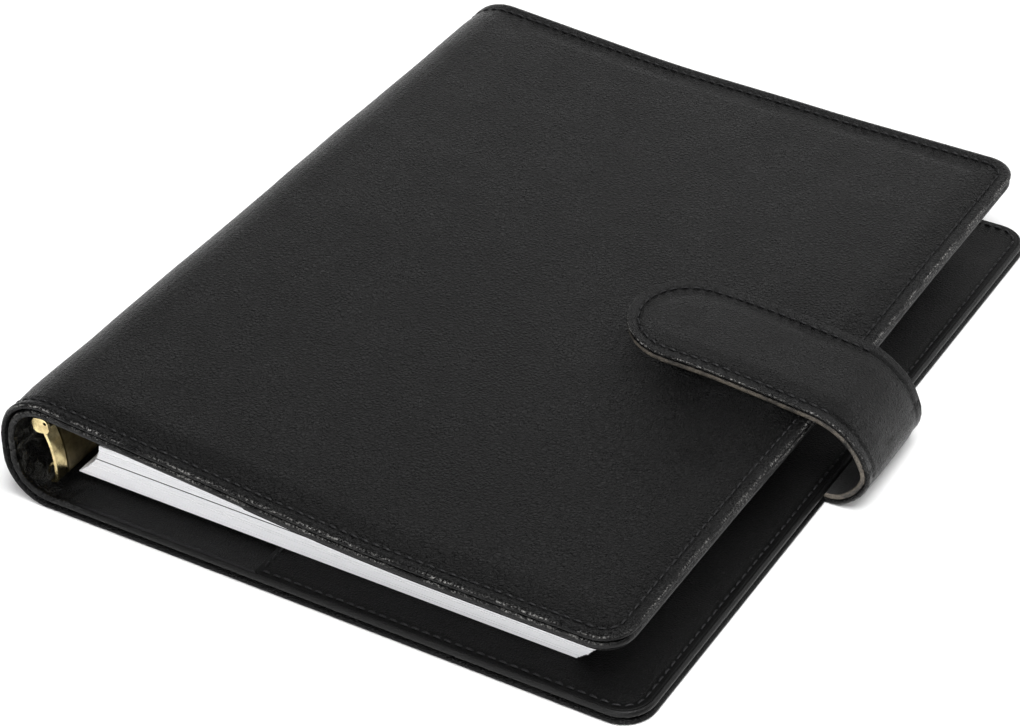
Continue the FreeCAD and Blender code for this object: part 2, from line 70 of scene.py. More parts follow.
def hinge(name):
    point = Vector(JOINTS[name]["pos_m"]) / MM
    return Vector((point.x - X0, point.y, point.z))


def to_frame(x, y, z):
    return Vector(((x + X0) * MM, y * MM, z * MM))


# ---- sizes, from the frame ----
LOWER_HINGE = hinge("spine_hinge")
UPPER_HINGE = hinge("front_cover_hinge")
LOWER_RADIUS = LOWER_HINGE.x / (1 - math.sqrt(0.5))
UPPER_RADIUS = UPPER_HINGE.x / (1 - math.sqrt(0.5))
UPPER_CENTRE_Z = UPPER_HINGE.z - UPPER_RADIUS * math.sqrt(0.5)
MIDDLE_Z = (LOWER_RADIUS + UPPER_CENTRE_Z) / 2
HALF_LENGTH = corners("back_outer_leather")[1].y
BACK_WIDTH = corners("back_outer_leather")[1].x
FRONT_WIDTH = corners("front_outer_leather")[1].x
WALL = corners("back_pocket_panel")[0].z - 0.05
FRONT_LEVEL = corners("front_lining")[0].z + WALL
SNAP_X = sum(c.x for c in corners("snap_stud")) / 2
STRAP_HALF = corners("strap_tab_leather")[1].y
STRAP_TIP = corners("strap_tab_leather")[0].x
TAB_TOP = corners("strap_tab_leather")[1].z

# ---- sizes of the finer shapes ----
CORNER_RADIUS = 9.0
FRONT_SLOPE = 4.3  # degrees, where the front cover leaves the spine's bend
SLOPE_END_X = 133.0
SKIN = 1.65
RIM_RADIUS = 1.15
RIM_SWELL = 0.05
PADDING = 0.8
GROOVE = 0.3
STITCH_INSET = 3.6
STITCH_PITCH = 3.1
STITCH_LENGTH = 2.3
STITCH_RADIUS = 0.3
STITCH_SINK = {"front": 0.12, "back": 0.36}  # the back cover's stitches stay clear of the floor
PANEL_CORE = 12.0
CORE_START_X = 28.5
CORE_EDGE = 6.7
FOAM_DEPTHS = (1.1, 1.65)
BOARD_DEPTHS = (1.75, 2.65)
POCKET_DEPTHS = (0.02, 0.6)
FLAP_DEPTHS = (0.95, 1.5)
POCKET_EDGE = 1.2
POCKET_CORNER = 7.8


def smooth(low, high, value):
    t = min(1.0, max(0.0, (value - low) / (high - low)))
    return t * t * (3 - 2 * t)


def bell(value, width):
    return math.exp(-((value / width) ** 2))


def rough(x, y, scale, seed):
    return noise.noise(Vector((x / scale, y / scale, seed)))


# ---- lines in the XZ plane ----
def arc_points(x, z, radius, start, stop, count=24):
    angles = [math.radians(start + (stop - start) * i / count) for i in range(count + 1)]
    return [(x + radius * math.cos(a), z + radius * math.sin(a)) for a in angles]


def bezier_points(poles, count=40):
    points = []
    for i in range(count + 1):
        t = i / count
        weights = ((1 - t) ** 3, 3 * t * (1 - t) ** 2, 3 * t * t * (1 - t), t**3)
        points.append(tuple(sum(w * p[k] for w, p in zip(weights, poles)) for k in (0, 1)))
    return points


class Path:
    """A line in the XZ plane, measured by its length.

    side is 1 if the inside is on the line's left, and -1 if it is on its right.
    """

    def __init__(self, points, side):
        self.points = [points[0]]
        for point in points[1:]:
            if math.dist(point, self.points[-1]) > 1e-4:
                self.points.append(point)
        self.lengths = [0.0]
        for a, b in zip(self.points, self.points[1:]):
            self.lengths.append(self.lengths[-1] + math.dist(a, b))
        self.normals = []
        last = len(self.points) - 1
        for i in range(last + 1):
            a, b = self.points[max(0, i - 1)], self.points[min(last, i + 1)]
            length = math.dist(a, b)
            self.normals.append((-side * (b[1] - a[1]) / length, side * (b[0] - a[0]) / length))
        self.length = self.lengths[-1]

    def at(self, s):
        """The point at a length along the line, and the normal into the object there."""
        i = 0
        low, high = 0, len(self.lengths) - 2
        while low <= high:
            i = (low + high) // 2
            if s < self.lengths[i]:
                high = i - 1
            elif s > self.lengths[i + 1]:
                low = i + 1
            else:
                break
        t = (s - self.lengths[i]) / (self.lengths[i + 1] - self.lengths[i])
        (ax, az), (bx, bz) = self.points[i], self.points[i + 1]
        (anx, anz), (bnx, bnz) = self.normals[i], self.normals[i + 1]
        nx, nz = anx + (bnx - anx) * t, anz + (bnz - anz) * t
        scale = 1 / math.hypot(nx, nz)
        return ax + (bx - ax) * t, az + (bz - az) * t, nx * scale, nz * scale

    def where(self, x):
        """The length at which the line's last stretch passes x."""
        for i in range(len(self.points) - 2, -1, -1):
            a, b = self.points[i][0], self.points[i + 1][0]
            if min(a, b) <= x <= max(a, b):
                return self.lengths[i] + (self.lengths[i + 1] - self.lengths[i]) * (x - a) / (b - a)
        return self.length


def back_line():
    bend = arc_points(LOWER_RADIUS, LOWER_RADIUS, LOWER_RADIUS, 180, 270)
    return Path([(0, MIDDLE_Z)] + bend + [(BACK_WIDTH, 0)], 1)


def front_line():
    bend = arc_points(UPPER_RADIUS, UPPER_CENTRE_Z, UPPER_RADIUS, 180, 90 - FRONT_SLOPE)
    x, z = bend[-1]
    third = (SLOPE_END_X - x) / 3
    fall = third * math.tan(math.radians(FRONT_SLOPE))
    poles = [(x, z), (x + third, z - fall), (x + 2 * third, FRONT_LEVEL + 0.1), (SLOPE_END_X, FRONT_LEVEL)]
    slope = bezier_points(poles)
    return Path([(0, MIDDLE_Z)] + bend + slope + [(FRONT_WIDTH, FRONT_LEVEL)], -1)


BACK = back_line()
FRONT = front_line()


def front_shift(x, y, z):
    """How the front cover sits: higher at its near end by the spine, and pulled down by the strap."""
    along = (y + HALF_LENGTH) / (2 * HALF_LENGTH)
    spine_side = (1 - smooth(60, 115, x)) * (0.9 - 2.4 * along)
    strap_side = 1.7 * smooth(138, 172, x) * bell(y, 36)
    return (spine_side - strap_side) * smooth(19, 27, z)


def on_back(s, y, depth):
    x, z, nx, nz = BACK.at(s)
    return to_frame(x + nx * depth, y, z + nz * depth)


def on_front(s, y, depth):
    x, z, nx, nz = FRONT.at(s)
    shift = front_shift(x, y, z)
    return to_frame(x + nx * depth, y, z + nz * depth + shift)


# ---- panels: layers with a rounded rim ----
class Outline:
    """A rounded rectangle over s, along a line, and y.

    open_start leaves the side at the line's start uncut. Past the inset called core, it is filled by a grid.
    """

    CORNER_STEPS = 8

    def __init__(self, s0, s1, y0, y1, radius, core=PANEL_CORE, open_start=False, step=2.2,
                 start_radius=1.0):
        self.s0, self.s1, self.y0, self.y1 = s0, s1, y0, y1
        self.radius, self.start_radius = radius, start_radius
        self.core, self.open_start = core, open_start
        along = s1 - s0 - core * (1 if open_start else 2)
        across = y1 - y0 - 2 * core
        self.along = self.shares(along, step)
        self.across = self.shares(across, step)

    @staticmethod
    def shares(length, step):
        count = max(1, round(length / step))
        return [i / count for i in range(count + 1)]

    def limits(self, t):
        fore = max(self.radius, t)
        start = max(self.start_radius, t)
        left = self.s0 if self.open_start else self.s0 + start
        return left, self.s1 - fore, fore, start

    def corner(self, s, y, radius, start):
        steps = self.CORNER_STEPS
        angles = [math.radians(start + 90 * i / steps) for i in range(1, steps)]
        return [(s + radius * math.cos(a), y + radius * math.sin(a)) for a in angles]

    def loop(self, t):
        """The outline at an inset, as points (s, y)."""
        left, right, fore, start = self.limits(t)
        run = [left + (right - left) * share for share in self.along]
        rise = [self.y0 + fore + (self.y1 - self.y0 - 2 * fore) * share for share in self.across]
        points = [(s, self.y0 + t) for s in run]
        points += self.corner(right, self.y0 + fore, fore - t, -90)
        points += [(self.s1 - t, y) for y in rise]
        points += self.corner(right, self.y1 - fore, fore - t, 0)
        points += [(s, self.y1 - t) for s in reversed(run)]
        if not self.open_start:
            width = self.y1 - self.y0 - 2 * start
            drop = [self.y1 - start - width * share for share in self.across]
            points += self.corner(left, self.y1 - start, start - t, 90)
            points += [(self.s0 + t, y) for y in drop]
            points += self.corner(left, self.y0 + start, start - t, 180)
        return points

    def inset(self, s, y):
        sides = [self.s1 - s, y - self.y0, self.y1 - y]
        if not self.open_start:
            sides.append(s - self.s0)
        return min(sides)

    def grid(self):
        left, right, fore, _ = self.limits(self.core)
        width = self.y1 - self.y0 - 2 * fore
        run = [left + (right - left) * share for share in self.along]
        rise = [self.y0 + fore + width * share for share in self.across]
        return run, rise


TOP_INSETS = (1.0, 1.6, 2.3, 3.0, 3.6, 4.2, 5.0, 6.2, 7.6, 9.0, 10.5, 12.0)
BOTTOM_INSETS = (1.0, 2.5, 6.0, 7.5, 9.0, 12.0)
RIM_ANGLES = (75, 60, 45, 30, 12, -10, -35, -60, -78)
SHOULDER = 45
SHOULDER_WIDTH = 15


def scaled(insets, core):
    """The insets that lie inside the core, and the core itself."""
    return [t for t in insets if t < core - 0.3] + [core]


def unbent(s):
    return 0.0


def slab(place, outline, top, bottom, rim_radius=RIM_RADIUS, swell=RIM_SWELL, bent=unbent):
    """A closed layer between two depths, which top and bottom give at an inset and a place.

    Its vertices carry three marks for the materials: inset is how far in from the rim they lie, fold is 1
    on the rim's upper shoulder, and bent is 1 where the layer goes round the spine.
    """
    bm = bmesh.new()
    inset_layer = bm.verts.layers.float.new("inset")
    fold_layer = bm.verts.layers.float.new("fold")
    bent_layer = bm.verts.layers.float.new("bent")

    def vertex(s, y, depth, t, fold=0.0):
        vert = bm.verts.new(place(s, y, depth))
        vert[inset_layer], vert[fold_layer], vert[bent_layer] = t, fold, bent(s)
        return vert

    def round_loop(t, depth, fold=0.0):
        return [vertex(s, y, depth(t, s, y), t, fold) for s, y in outline.loop(t)]

    def rim_depth(angle):
        def depth(t, s, y):
            high, low = top(0, s, y) - swell, bottom(0, s, y) + swell
            return (high + low) / 2 - (low - high) / 2 * math.sin(angle)

        return depth

    loops = [round_loop(t, top) for t in reversed(scaled(TOP_INSETS, outline.core))]
    for degrees in RIM_ANGLES:
        angle = math.radians(degrees)
        inset = rim_radius * (1 - math.cos(angle))
        fold = bell(degrees - SHOULDER, SHOULDER_WIDTH)
        loops.append(round_loop(inset, rim_depth(angle), fold))
    loops += [round_loop(t, bottom) for t in scaled(BOTTOM_INSETS, outline.core)]
    count = len(loops[0])
    for a, b in zip(loops, loops[1:]):
        for i in range(count - 1 if outline.open_start else count):
            j = (i + 1) % count
            bm.faces.new((a[i], a[j], b[j], b[i]))
    run, rise = outline.grid()
    for depth in (top, bottom):
        rows = []
        for s in run:
            insets = [outline.inset(s, y) for y in rise]
            rows.append([vertex(s, y, depth(t, s, y), t) for y, t in zip(rise, insets)])
        for a, b in zip(rows, rows[1:]):
            for i in range(len(rise) - 1):
                bm.faces.new((a[i], a[i + 1], b[i + 1], b[i]))
    bmesh.ops.remove_doubles(bm, verts=bm.verts, dist=2e-6)
    bmesh.ops.dissolve_degenerate(bm, edges=bm.edges, dist=1e-7)
    if outline.open_start:
        edges = [edge for edge in bm.edges if edge.is_boundary]
        bmesh.ops.holes_fill(bm, edges=edges, sides=0)
    bmesh.ops.recalc_face_normals(bm, faces=bm.faces)
    return bm


def piece(name, bm, material, slot_name):
    mesh = bpy.data.meshes.new(name)
    bm.to_mesh(mesh)
    bm.free()
    for polygon in mesh.polygons:
        polygon.use_smooth = len(polygon.vertices) < 5
    mesh.materials.append(material)
    obj = bpy.data.objects.new(name, mesh)
    bpy.context.scene.collection.objects.link(obj)
    return obj


def flat(depth):
    """The same depth everywhere."""
    return lambda t, s, y: depth


# ---- stitches ----
def stations(points, pitch, closed=False):
    """Places every pitch along a run of points, as (place, direction)."""
    run = points + [points[0]] if closed else points
    ahead, found = pitch / 2, []
    for a, b in zip(run, run[1:]):
        length = math.dist(a, b)
        if length < 1e-6:
            continue
        direction = ((b[0] - a[0]) / length, (b[1] - a[1]) / length)
        while ahead <= length:
            found.append(((a[0] + direction[0] * ahead, a[1] + direction[1] * ahead), direction))
            ahead += pitch
        ahead -= length
    return found


STITCH_RINGS = ((-1.0, 0.35), (-0.82, 0.8), (-0.35, 1.0), (0.35, 1.0), (0.82, 0.8), (1.0, 0.35))
STITCH_SIDES = 7


def add_stitch(bm, place, spot, direction, depth, length, radius):
    """A thread's stitch: a short bent capsule whose ends dive into the leather."""
    (s, y), (ds, dy) = spot, direction
    half = length / 2
    slant = random.uniform(-0.05, 0.05)
    a = place(s - ds * half - dy * slant, y - dy * half + ds * slant, depth)
    b = place(s + ds * half + dy * slant, y + dy * half - ds * slant, depth)
    outward = (place(s, y, depth - 1) - place(s, y, depth)).normalized()
    along = (b - a).normalized()
    side = along.cross(outward).normalized()
    rings = []
    for u, size in STITCH_RINGS:
        lift = (0.16 * (1 - u * u) - 0.28 * u**6) * MM
        centre = a.lerp(b, (u + 1) / 2) + outward * lift
        ring = []
        for k in range(STITCH_SIDES):
            angle = 2 * math.pi * k / STITCH_SIDES
            offset = side * math.cos(angle) + outward * (0.85 * math.sin(angle))
            ring.append(bm.verts.new(centre + offset * (radius * size * MM)))
        rings.append(ring)
    for low, high in zip(rings, rings[1:]):
        for k in range(STITCH_SIDES):
            j = (k + 1) % STITCH_SIDES
            bm.faces.new((low[k], low[j], high[j], high[k]))
    bm.faces.new(rings[0])
    bm.faces.new(rings[-1])


def seam(name, routes, material, slot_name):
    """One piece with the stitches of several routes: (place, points, depth, closed)."""
    bm = bmesh.new()
    for place, points, depth, closed in routes:
        for spot, direction in stations(points, STITCH_PITCH, closed):
            add_stitch(bm, place, spot, direction, depth, STITCH_LENGTH, STITCH_RADIUS)
    bmesh.ops.recalc_face_normals(bm, faces=bm.faces)
    return piece(name, bm, material, slot_name)


# ---- materials ----
class Nodes:
    """A material's node tree, with short ways to add and join nodes."""

    def __init__(self, name):
        self.material = bpy.data.materials.new(name)
        self.material.use_nodes = True
        self.tree = self.material.node_tree
        self.shader = self.tree.nodes["Principled BSDF"]
        coordinates = self.tree.nodes.new("ShaderNodeTexCoord")
        self.place = coordinates.outputs["Object"]

    def add(self, kind, settings=(), **inputs):
        node = self.tree.nodes.new(kind)
        for key, value in dict(settings).items():
            setattr(node, key, value)
        for key, value in inputs.items():
            self.put(node.inputs[key.replace("_", " ")], value)
        return node

    def put(self, socket, value):
        if isinstance(value, bpy.types.NodeSocket):
            self.tree.links.new(value, socket)
        else:
            socket.default_value = value

    def stretched(self, x, y, z):
        mapping = self.add("ShaderNodeMapping", Vector=self.place)
        mapping.inputs["Scale"].default_value = (x, y, z)
        return mapping.outputs["Vector"]

    def noise(self, size, detail=3.0, roughness=0.55, where=None, distortion=0.0):
        """Noise whose bumps are about size millimetres wide."""
        settings = {"Vector": where or self.place, "Scale": 1 / (size * MM), "Detail": detail,
                    "Roughness": roughness, "Distortion": distortion}
        return self.add("ShaderNodeTexNoise", **settings).outputs[0]

    def cells(self, size, feature="F1", where=None, randomness=1.0):
        node = self.add("ShaderNodeTexVoronoi", {"feature": feature}, Vector=where or self.place)
        node.inputs["Scale"].default_value = 1 / (size * MM)
        node.inputs["Randomness"].default_value = randomness
        return node.outputs["Distance"]

    def spread(self, value, low, high, start=0.0, stop=1.0):
        """Value from low to high, remapped to start to stop and clamped."""
        node = self.add("ShaderNodeMapRange", {"clamp": True}, Value=value)
        limits = {"From Min": low, "From Max": high, "To Min": start, "To Max": stop}
        for key, number in limits.items():
            node.inputs[key].default_value = number
        return node.outputs[0]

    def math(self, operation, a, b):
        node = self.add("ShaderNodeMath", {"operation": operation})
        self.put(node.inputs[0], a)
        self.put(node.inputs[1], b)
        return node.outputs[0]

    def mix(self, factor, a, b):
        node = self.add("ShaderNodeMix", {"data_type": "RGBA"})
        self.put(node.inputs["Factor"], factor)
        self.put(node.inputs[6], (*a, 1) if isinstance(a, tuple) else a)
        self.put(node.inputs[7], (*b, 1) if isinstance(b, tuple) else b)
        return node.outputs[2]

    def attribute(self, name):
        return self.add("ShaderNodeAttribute", {"attribute_name": name}).outputs["Fac"]

    def bump(self, height, distance, strength=1.0, normal=None):
        node = self.add("ShaderNodeBump", Height=height, Strength=strength, Distance=distance * MM)
        if normal:
            self.put(node.inputs["Normal"], normal)
        return node.outputs["Normal"]

    def finish(self, color, roughness, normal=None, **fixed):
        self.put(self.shader.inputs["Base Color"], color)
        self.put(self.shader.inputs["Roughness"], roughness)
        if normal:
            self.put(self.shader.inputs["Normal"], normal)
        for key, value in fixed.items():
            self.shader.inputs[key.replace("_", " ")].default_value = value
        return self.material


def leather(name, grain, dark, light, roughness, depth, specular=0.3, crumple=0.0):
    """Black grained leather: pebbles with painted shade in the creases between them, pores, mottling, a smoother
    border, and light specks on the folds' shoulders that are partly wear and partly a painted highlight.

    grain is the pebbles' size and depth their height. crumple is the height of the creases round the spine, whose
    crests also get painted glints.
    """
    n = Nodes(name)
    wobble = n.add("ShaderNodeVectorMath", {"operation": "MULTIPLY_ADD"})
    swirl = n.add("ShaderNodeTexNoise", Vector=n.place, Scale=1 / (grain * 1.6 * MM), Detail=2.0)
    n.put(wobble.inputs[0], swirl.outputs["Color"])
    wobble.inputs[1].default_value = (grain * 0.9 * MM,) * 3
    n.put(wobble.inputs[2], n.place)
    warped = wobble.outputs[0]
    pebbles = n.spread(n.cells(grain, "DISTANCE_TO_EDGE", warped), 0.0, 0.32)
    small = n.spread(n.cells(grain * 0.45, "DISTANCE_TO_EDGE", warped), 0.0, 0.3)
    fine = n.noise(grain * 0.35, 4.0)
    patches = n.noise(grain * 14, 3.0)
    pores = n.spread(n.cells(grain * 1.5, "F1", warped), 0.08, 0.26)
    height = n.math("ADD", n.math("MULTIPLY", pebbles, 0.5), n.math("MULTIPLY", small, 0.25))
    height = n.math("ADD", height, n.math("MULTIPLY", fine, 0.3))
    height = n.math("ADD", height, n.math("MULTIPLY", pores, 0.2))
    inset = n.attribute("inset")
    border = n.spread(inset, 2.2, 3.6, 1.0, 0.0)
    fold = n.attribute("fold")
    grained = n.math("MULTIPLY", height, n.math("SUBTRACT", 1.0, n.math("MULTIPLY", border, 0.75)))
    normal = n.bump(grained, depth)
    if crumple:
        creases = n.noise(3.2, 4.0, 0.62, n.stretched(1, 0.55, 1), 0.6)
        creases = n.math("MULTIPLY", creases, n.attribute("bent"))
        normal = n.bump(creases, crumple, normal=normal)
        # Painted glints: the crests of the creases round the spine are lightened where they would catch the light.
        rub_and_glint = n.math("MULTIPLY", n.spread(creases, 0.5, 0.62), n.spread(patches, 0.45, 0.6))
        light = n.mix(rub_and_glint, light, (0.09, 0.09, 0.082))
    color = n.mix(n.spread(patches, 0.3, 0.7), dark, light)
    # Painted shade: the creases between the pebbles are darkened.
    color = n.mix(n.spread(pebbles, 0.0, 0.5, 0.55, 0.0), color, tuple(c * 0.3 for c in dark))
    # Light specks along the fold's upper shoulder: partly worn finish, partly a painted highlight where the lamps
    # glint on the rolled edge.
    specks = n.spread(n.noise(0.6, 4.0, 0.7), 0.5, 0.6)
    streaks = n.spread(n.noise(9.0, 2.0), 0.36, 0.56)
    wear_and_glint_share = n.math("MULTIPLY", n.math("MULTIPLY", specks, streaks), fold)
    color = n.mix(wear_and_glint_share, color, (0.26, 0.255, 0.245))
    rough_value = n.spread(patches, 0.3, 0.7, roughness - 0.04, roughness + 0.05)
    rough_value = n.math("ADD", rough_value, n.spread(pebbles, 0.0, 0.5, 0.06, 0.0))
    rough_value = n.math("ADD", rough_value, n.spread(pores, 0.0, 0.6, 0.03, 0.0))
    rough_value = n.math("SUBTRACT", rough_value, n.math("MULTIPLY", fold, 0.16))
    return n.finish(color, rough_value, normal, Specular_IOR_Level=specular)


def thread():
    n = Nodes("black_thread")
    twist = n.add("ShaderNodeTexWave", {"bands_direction": "DIAGONAL"}, Vector=n.place, Scale=1 / (1.2 * MM))
    fuzz = n.noise(0.1, 2.0)
    height = n.math("ADD", twist.outputs["Fac"], n.math("MULTIPLY", fuzz, 0.4))
    color = n.mix(n.spread(fuzz, 0.3, 0.7), (0.003, 0.003, 0.0035), (0.01, 0.01, 0.011))
    return n.finish(color, n.spread(fuzz, 0.3, 0.7, 0.45, 0.6), n.bump(height, 0.06), Specular_IOR_Level=0.3)


def raw_edge():
    """The cut edge of the strap's lining: fibres, grey tan where the finish is rubbed off."""
    n = Nodes("strap_lining_with_raw_edge")
    grain = n.cells(0.7, "DISTANCE_TO_EDGE")
    fibres = n.noise(0.4, 5.0, 0.7)
    patches = n.noise(5.0, 3.0)
    rim = n.spread(n.attribute("inset"), 0.25, 0.6, 1.0, 0.0)
    rub_and_glint = n.math("MULTIPLY", n.spread(fibres, 0.35, 0.6), n.spread(patches, 0.3, 0.5))
    skin = n.mix(n.spread(patches, 0.3, 0.7), (0.008, 0.008, 0.008), (0.016, 0.016, 0.016))
    color = n.mix(n.math("MULTIPLY", rim, rub_and_glint), skin, (0.17, 0.145, 0.115))
    height = n.math("ADD", n.spread(grain, 0.0, 0.3), n.math("MULTIPLY", fibres, 0.6))
    return n.finish(color, n.spread(fibres, 0.3, 0.7, 0.5, 0.72), n.bump(height, 0.12))


def gold(name, light, dark, roughness, brushed):
    """Polished or brushed brass plating, with drawn lines along Y, faint tarnish and fine scratches."""
    n = Nodes(name)
    lines = n.noise(0.25, 4.0, 0.6, n.stretched(1, 0.02, 1))
    tarnish = n.noise(3.5, 4.0, 0.6)
    scratches = n.noise(0.4, 3.0, 0.8, n.stretched(1, 0.1, 0.4), 0.8)
    color = n.mix(n.spread(tarnish, 0.35, 0.75), light, dark)
    worn = n.spread(scratches, 0.55, 0.7, 0.0, 0.15)
    rough_value = n.math("ADD", n.spread(tarnish, 0.3, 0.7, roughness, roughness + 0.1), worn)
    height = n.math("ADD", n.math("MULTIPLY", lines, brushed), n.math("MULTIPLY", scratches, 0.1))
    return n.finish(color, rough_value, n.bump(height, 0.05), Metallic=1.0)


def paper(name, light, dark):
    """Uncoated sheets: fibres on their faces, and on the cut edges fine lines of painted shade between them."""
    n = Nodes(name)
    lines = n.noise(1.0, 3.0, 0.7, n.stretched(0.002, 0.002, 7.0))
    fibres = n.noise(0.5, 4.0, 0.7)
    # Painted shade: fine darker lines between the sheets on the cut edges.
    color = n.mix(n.spread(lines, 0.55, 0.8), light, dark)
    color = n.mix(n.spread(fibres, 0.45, 0.8, 0.0, 0.35), color, tuple(c * 0.9 for c in light))
    height = n.math("ADD", n.math("MULTIPLY", lines, 0.8), n.math("MULTIPLY", fibres, 0.2))
    return n.finish(color, n.spread(fibres, 0.3, 0.7, 0.75, 0.9), n.bump(height, 0.06, 0.6))


def board():
    n = Nodes("grey_board")
    fibres = n.noise(0.8, 5.0, 0.7, n.stretched(1, 0.4, 1))
    flecks = n.spread(n.cells(2.5), 0.05, 0.12, 1.0, 0.0)
    color = n.mix(n.spread(fibres, 0.3, 0.7), (0.30, 0.25, 0.19), (0.42, 0.36, 0.28))
    color = n.mix(n.math("MULTIPLY", flecks, 0.5), color, (0.14, 0.11, 0.08))
    return n.finish(color, n.spread(fibres, 0.3, 0.7, 0.8, 0.95), n.bump(fibres, 0.1))


def foam():
    n = Nodes("grey_foam")
    cells = n.cells(0.5)
    blotches = n.noise(6.0, 3.0)
    color = n.mix(n.spread(cells, 0.1, 0.6), (0.06, 0.06, 0.06), (0.16, 0.16, 0.16))
    color = n.mix(n.spread(blotches, 0.4, 0.7, 0.0, 0.4), color, (0.11, 0.11, 0.12))
    return n.finish(color, n.spread(cells, 0.1, 0.6, 0.85, 0.98), n.bump(cells, 0.25))


def nickel():
    n = Nodes("dark_nickel")
    turned = n.noise(0.3, 3.0, 0.6, n.stretched(1, 1, 0.2))
    smudges = n.noise(3.0, 3.0)
    color = n.mix(n.spread(smudges, 0.35, 0.7), (0.36, 0.35, 0.34), (0.24, 0.23, 0.22))
    return n.finish(color, n.spread(smudges, 0.3, 0.7, 0.24, 0.4), n.bump(turned, 0.04), Metallic=1.0)


COVER = leather("cover_leather", 1.15, (0.0014, 0.0014, 0.0015), (0.0032, 0.0032, 0.0033),
                roughness=0.28, depth=0.9, specular=0.13)
LINING = leather("lining_leather", 0.8, (0.0012, 0.0012, 0.0012), (0.0025, 0.0025, 0.0025),
                 roughness=0.38, depth=0.35, specular=0.22, crumple=2.6)
POCKET = leather("pocket_leather", 0.8, (0.0012, 0.0012, 0.0012), (0.0025, 0.0025, 0.0025),
                 roughness=0.42, depth=0.3, specular=0.12)
STRAP = leather("strap_leather", 0.9, (0.0015, 0.0015, 0.0016), (0.0035, 0.0035, 0.0036),
                roughness=0.28, depth=0.8, specular=0.18)
STRAP_LINING = raw_edge()
THREAD = thread()
FOAM = foam()
BOARD = board()
PAPER = paper("white_paper", (0.88, 0.88, 0.90), (0.74, 0.74, 0.76))
FINISHES = {
    "cover_leather": COVER,
    "lining_leather": LINING,
    "pocket_leather": POCKET,
    "strap_leather": STRAP,
    "foam": FOAM,
    "board": BOARD,
    "ring_brass": gold("bright_brass", (0.95, 0.80, 0.42), (0.42, 0.31, 0.15), 0.12, 0.3),
    # The plate's brass: brushed and rougher than the rings', and painted much darker as painted shade of the
    # spine's hollow it sits in.
    "plate_brass": gold("brushed_brass_painted_shade", (0.24, 0.195, 0.10), (0.08, 0.065, 0.035), 0.3, 1.6),
    "snap_metal": nickel(),
    "paper": PAPER,
    "divider": paper("dark_divider", (0.035, 0.035, 0.04), (0.025, 0.025, 0.028)),
}
for node_name, node_object in frame["nodes"].items():
    for material_slot in node_object.material_slots:
        material_slot.material = FINISHES[SLOT_OF[node_name]]


# ---- covers ----
def puff(t, height, start=3.9, end=12.0):
    """How far the leather stands out at an inset: a crowned edge, a groove at the stitches, then a swell."""
    groove = GROOVE * bell(t - STITCH_INSET, 0.75)
    crown = 0.26 * bell(t - 1.5, 1.5)
    return height * smooth(start, end, t) + crown - groove


def skin_top(path, height, seed):
    """The padded outer face, which is flat where it lies on the floor."""

    def depth(t, s, y):
        x, z, _, _ = path.at(s)
        padded = 0.35 + 0.65 * smooth(12, 34, x)
        uneven = 0.28 * rough(s, y, 46, seed) + 0.1 * rough(s, y, 15, seed + 5)
        pucker = 0.10 * rough(s, y, 4.2, seed + 9) * bell(t - 5.0, 3.0)
        bulge = puff(t, height * padded) + uneven * smooth(3, 12, t) + pucker
        return max(-bulge, -z)

    return depth


def over_core(path, t, s):
    """1 where foam and board lie between the leather and the lining, and 0 round them."""
    return smooth(6.5, 8.5, t) * smooth(27, 31, path.at(s)[0])


def skin_bottom(path):
    """The leather's inner face: thin at the turned edge, and thinner over the foam."""

    def depth(t, s, y):
        return SKIN - 0.3 * (1 - smooth(0.3, 2, t)) - 0.6 * over_core(path, t, s)

    return depth


def lining_outer(path):
    """The lining's outer face: apart from the leather at the turned edge, and under the board."""

    def depth(t, s, y):
        return SKIN + 0.3 - 0.25 * smooth(1, 3, t) + 1.0 * over_core(path, t, s)

    return depth


def lining_inner(path, seed):
    """The lining's inner face, which wrinkles where it goes round the spine."""

    def depth(t, s, y):
        x = path.at(s)[0]
        bend = 1 - smooth(8, 26, x)
        wrinkle = -0.75 * abs(rough(s, y * 0.35, 4.2, seed)) - 0.5 * abs(rough(s, y, 8, seed + 3))
        groove = 0.22 * bell(t - STITCH_INSET, 0.8)
        roll = 0.55 * (1 - smooth(0.4, 1.8, t))
        uneven = 0.06 * abs(rough(s, y, 12, seed + 6))
        return WALL + roll - groove + wrinkle * bend * smooth(0.5, 3, t) - uneven

    return depth


def cover_outline(path):
    return Outline(0, path.length, -HALF_LENGTH, HALF_LENGTH, CORNER_RADIUS, open_start=True)


def bend_front(obj):
    """Bakes the object's transform into its mesh."""
    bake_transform(obj)


def bend_back(obj):
    """Bakes the object's transform into its mesh."""
    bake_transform(obj)


def cover(side, path, place, bend, seed):
    """A cover's leather and lining with half of the spine's, and its run of stitches."""
    outline = Outline(0, path.length, -HALF_LENGTH, HALF_LENGTH, CORNER_RADIUS, open_start=True)
    outer = slab(place, outline, skin_top(path, PADDING, seed), skin_bottom(path))
    skin = piece(f"{side}_leather_skin", outer, COVER, "cover_leather")
    step_in = 0.2
    inner_outline = Outline(0, path.length - step_in, step_in - HALF_LENGTH, HALF_LENGTH - step_in,
                            CORNER_RADIUS - step_in, open_start=True)
    inner = slab(place, inner_outline, lining_outer(path), lining_inner(path, seed),
                 bent=lambda s: 1 - smooth(12, 26, path.at(s)[0]))
    lining = piece(f"{side}_lining_skin", inner, LINING, "lining_leather")
    route = (place, outline.loop(STITCH_INSET), STITCH_SINK[side], False)
    threads = seam(f"{side}_cover_stitches", [route], THREAD, "cover_leather")
    for obj in (skin, lining, threads):
        bend(obj)
    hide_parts(f"{side}_outer_leather")
    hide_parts(f"{side}_lining")
    return skin, lining


def core(side, name, path, place, depths, material, slot_name):
    """The foam pad or board in a cover."""
    outline = Outline(path.where(CORE_START_X), path.length - CORE_EDGE, CORE_EDGE - HALF_LENGTH,
                      HALF_LENGTH - CORE_EDGE, 5.0, core=6.0, step=6.0)
    layer = slab(place, outline, flat(depths[0]), flat(depths[1]), 0.25, 0.0)
    obj = piece(f"{side}_{name}_layer", layer, material, slot_name)
    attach(obj, f"{side}_cover")
    return obj


